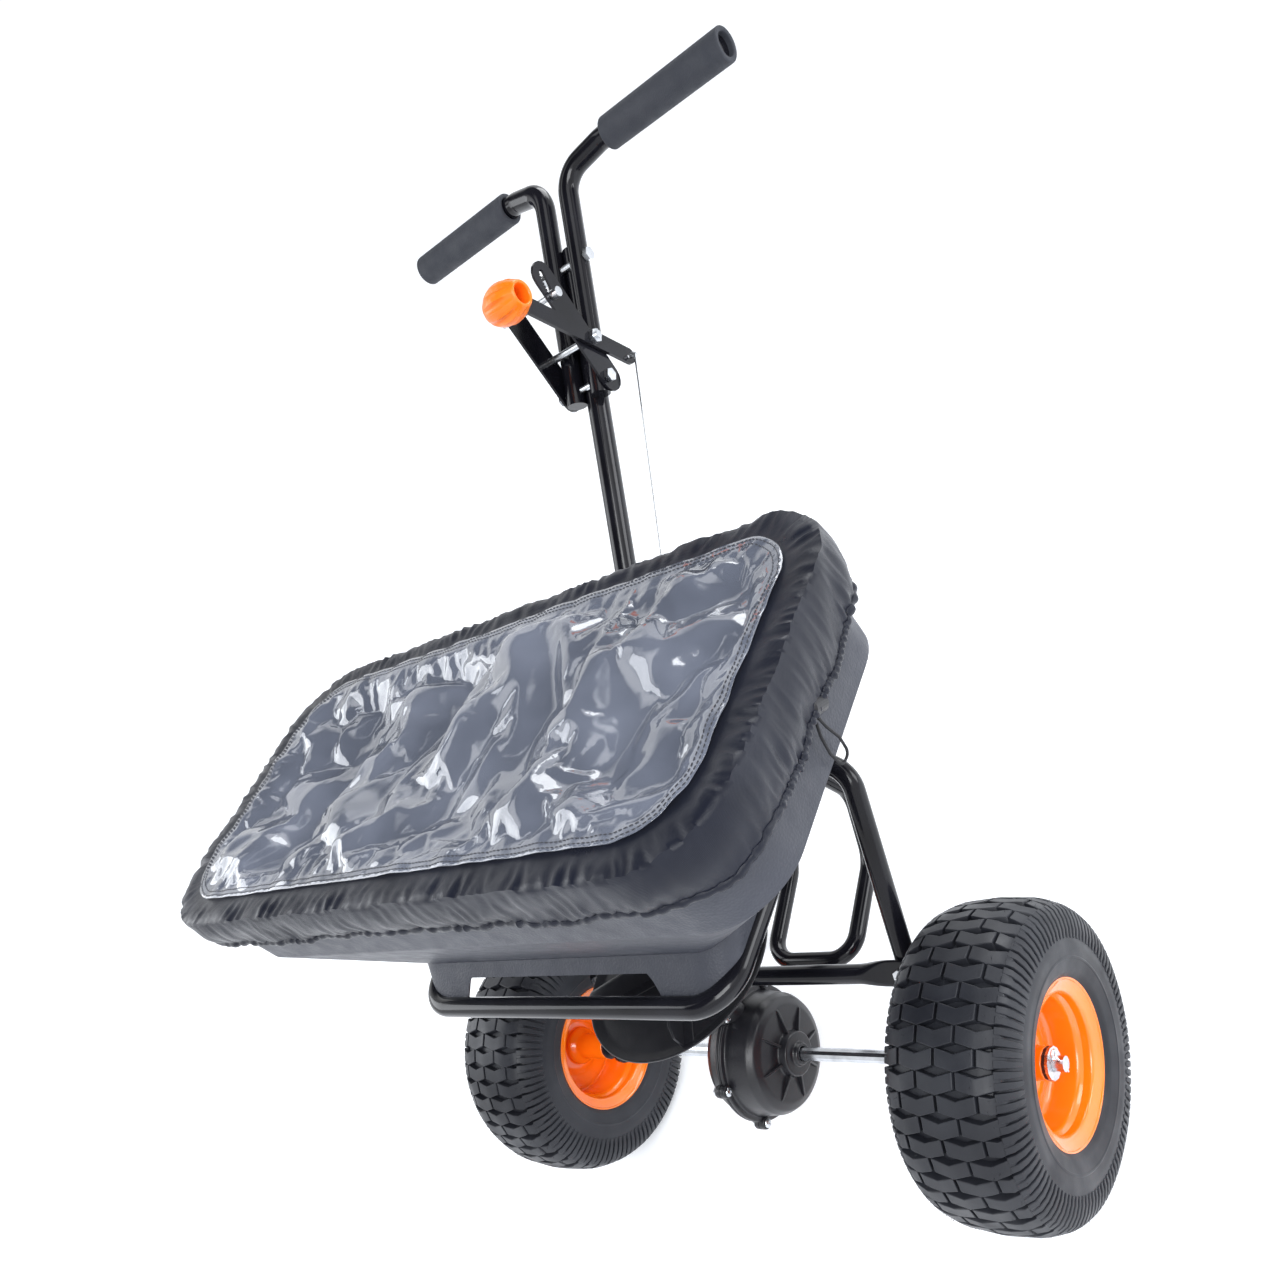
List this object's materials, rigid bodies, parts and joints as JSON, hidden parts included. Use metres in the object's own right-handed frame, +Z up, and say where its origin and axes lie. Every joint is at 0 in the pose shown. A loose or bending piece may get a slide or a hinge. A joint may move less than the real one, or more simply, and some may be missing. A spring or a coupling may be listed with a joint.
{
  "type": "broadcast spreader",
  "caption": "Walk-behind garden spreader: turf wheels on a live axle, gearbox and spinner disc, plastic hopper with a clear-window rain cover, T handle and rate lever.",
  "frame": {"origin": "on the ground under the middle of the outline, half way between the two wheels", "axes": "+X to the left-hand wheel (left of a user who stands at the handle and faces the front), +Y to the handle, +Z up"},
  "size_m": [0.772, 0.8445, 0.9455],
  "materials": {
    "tyre_rubber": "matte moulded turf tyre",
    "rim_paint": "gloss orange enamel",
    "gloss_black": "gloss black powder coat",
    "zinc": "bright zinc plate",
    "axle_steel": "bright drawn steel",
    "black_plastic": "black moulded nylon",
    "hopper_plastic": "dark grey textured polypropylene",
    "knob_plastic": "orange moulded plastic",
    "foam": "closed-cell foam",
    "foot_rubber": "black rubber",
    "nylon": "coated black nylon",
    "clear_vinyl": "clear soft vinyl",
    "cord_elastic": "black elastic cord"
  },
  "bodies": {
    "frame": {"axle_plate_left": "gloss_black", "axle_plate_right": "gloss_black", "axle_bearing_left": "black_plastic", "axle_bearing_right": "black_plastic", "rear_arch": "gloss_black", "cross_brace": "gloss_black", "brace_bolt_left": "zinc", "brace_bolt_right": "zinc", "hopper_frame": "gloss_black", "frame_bolt_left": "zinc", "frame_bolt_right": "zinc", "rear_loop": "gloss_black", "stand_leg_left": "gloss_black", "stand_leg_right": "gloss_black", "stand_foot_left": "foot_rubber", "stand_foot_right": "foot_rubber", "plate_bolt_left": "zinc", "plate_bolt_right": "zinc", "gearbox_left": "black_plastic", "gearbox_right": "black_plastic", "hopper": "hopper_plastic", "gate_guide": "black_plastic", "post": "gloss_black", "handlebar_left": "gloss_black", "handlebar_right": "gloss_black", "grip_left": "foam", "grip_right": "foam", "lever_bracket_left": "gloss_black", "lever_bracket_right": "gloss_black", "bracket_bolt_low": "zinc", "bracket_bolt_high": "zinc", "pivot_bolt": "zinc"},
    "drive": {"axle": "axle_steel", "axle_washer_left": "zinc", "axle_washer_right": "zinc", "cotter_pin_left": "zinc", "cotter_pin_right": "zinc", "drive_gear": "zinc", "tyre_right": "tyre_rubber", "rim_right": "rim_paint", "wheel_bush_right": "black_plastic", "valve_stem_right": "foot_rubber"},
    "free_wheel": {"tyre_left": "tyre_rubber", "rim_left": "rim_paint", "wheel_bush_left": "black_plastic", "valve_stem_left": "foot_rubber"},
    "spreader": {"spinner_shaft": "axle_steel", "pinion": "zinc", "spinner": "black_plastic", "agitator": "zinc"},
    "lever": {"control_lever": "gloss_black", "lever_knob": "knob_plastic"},
    "rod": {"control_rod": "zinc"},
    "gate": {"gate_plate": "zinc"},
    "stop": {"rate_stop": "zinc"},
    "cover": {"cover_fabric": "nylon", "cover_window": "clear_vinyl", "cord_lock": "black_plastic", "drawcord": "cord_elastic"},
    "plunger": {"cord_lock_plunger": "black_plastic"}
  },
  "joints": [
    {"name": "axle_spin", "type": "hinge", "parent": "frame", "child": "drive", "pos_m": [0, -0.2572, 0.165], "axis": [1, 0, 0], "continuous": true},
    {"name": "free_wheel_spin", "type": "hinge", "parent": "drive", "child": "free_wheel", "pos_m": [0.321, -0.2572, 0.165], "axis": [1, 0, 0], "continuous": true},
    {"name": "spinner_spin", "type": "hinge", "parent": "frame", "child": "spreader", "pos_m": [0, -0.2432, 0.34], "axis": [0, 0, 1], "continuous": true},
    {"name": "lever_tilt", "type": "hinge", "parent": "frame", "child": "lever", "pos_m": [0.035, 0.24164, 0.81249], "axis": [1, 0, 0], "range_deg": [-3.5, 28]},
    {"name": "rod_slide", "type": "slide", "parent": "frame", "child": "rod", "axis": [0, 0.7603, 0.6495], "range_m": [-0.0035, 0.0272]},
    {"name": "gate_slide", "type": "slide", "parent": "frame", "child": "gate", "axis": [0, 1, 0], "range_m": [-0.0027, 0.0207]},
    {"name": "rate_stop_slide", "type": "slide", "parent": "frame", "child": "stop", "axis": [0, 0.3504, 0.9366], "range_m": [0, 0.022]},
    {"name": "cover_lift", "type": "slide", "parent": "frame", "child": "cover", "axis": [0, 0, 1], "range_m": [0, 0.03]},
    {"name": "plunger_press", "type": "slide", "parent": "cover", "child": "plunger", "axis": [0, 0.866, -0.5], "range_m": [0, 0.004], "stiffness_N_per_m": 300}
  ],
  "couplings": [
    {"joint": "spinner_spin", "follows": "axle_spin", "ratio": -4},
    {"joint": "rod_slide", "follows": "lever_tilt", "m_per_rad": 0.0537},
    {"joint": "gate_slide", "follows": "lever_tilt", "m_per_rad": 0.04083}
  ]
}
